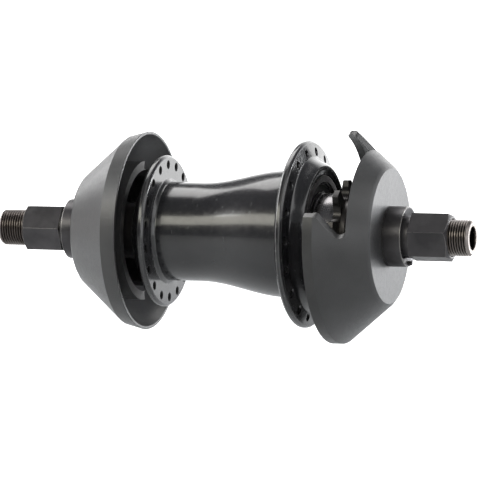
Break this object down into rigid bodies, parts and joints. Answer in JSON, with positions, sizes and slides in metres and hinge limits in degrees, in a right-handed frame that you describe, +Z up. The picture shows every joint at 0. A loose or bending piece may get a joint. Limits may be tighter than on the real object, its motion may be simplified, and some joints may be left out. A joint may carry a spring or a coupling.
{
  "type": "freecoaster hub",
  "caption": "Rear freecoaster hub with hollow threaded axle, spoke flanges, driver with sprocket, worm clutch inside, and a guard on each side, one with a chain window.",
  "frame": {"origin": "middle of the axle, on its centre line", "axes": "+X along the axle towards the drive side, +Z up, with the chain window facing up and towards -Y"},
  "size_m": [0.1924, 0.0836, 0.0815],
  "materials": {
    "axle_steel": "dark machined steel",
    "black_oxide": "black oxide",
    "guard_nylon": "satin moulded nylon",
    "inner_steel": "ground steel",
    "bearing_steel": "polished",
    "black_anodised": "gloss black anodised",
    "seal_rubber": "moulded rubber",
    "dark_chrome": "polished dark",
    "spring_steel": "oil tempered"
  },
  "bodies": {
    "axle_group": {"axle": "axle_steel", "drive_axle_nut": "black_oxide", "non_drive_axle_nut": "black_oxide", "drive_collar": "black_oxide", "non_drive_collar": "black_oxide", "drive_guard": "guard_nylon", "non_drive_guard": "guard_nylon", "drive_cone": "inner_steel", "non_drive_cone": "inner_steel", "bearing_spacer": "inner_steel", "drag_sleeve": "inner_steel", "slack_shims": "inner_steel", "non_drive_bearing_inner_race": "bearing_steel", "driver_bearing_inner_races": "bearing_steel"},
    "shell": {"hub_shell": "black_anodised", "clutch_ring": "inner_steel", "non_drive_bearing_outer_race": "bearing_steel", "shell_bearing_outer_race": "bearing_steel", "shell_bearing_seal": "seal_rubber", "lock_ring": "black_oxide"},
    "driver_group": {"driver": "dark_chrome", "shell_bearing_inner_race": "bearing_steel", "driver_bearing_outer_races": "bearing_steel"},
    "spring_group": {"drag_spring": "spring_steel"},
    "clutch_group": {"clutch": "inner_steel"}
  },
  "joints": [
    {"name": "shell_spin", "type": "hinge", "parent": "axle_group", "child": "shell", "pos_m": [0, 0, 0], "axis": [1, 0, 0], "continuous": true},
    {"name": "driver_spin", "type": "hinge", "parent": "axle_group", "child": "driver_group", "pos_m": [0, 0, 0], "axis": [1, 0, 0], "continuous": true},
    {"name": "spring_turn", "type": "hinge", "parent": "driver_group", "child": "spring_group", "pos_m": [0, 0, 0], "axis": [1, 0, 0], "range_deg": [0, 45]},
    {"name": "clutch_slide", "type": "slide", "parent": "spring_group", "child": "clutch_group", "axis": [1, 0, 0], "range_m": [0, 0.0025]}
  ],
  "couplings": [
    {"joint": "spring_turn", "follows": "clutch_slide", "rad_per_m": 314.16}
  ]
}
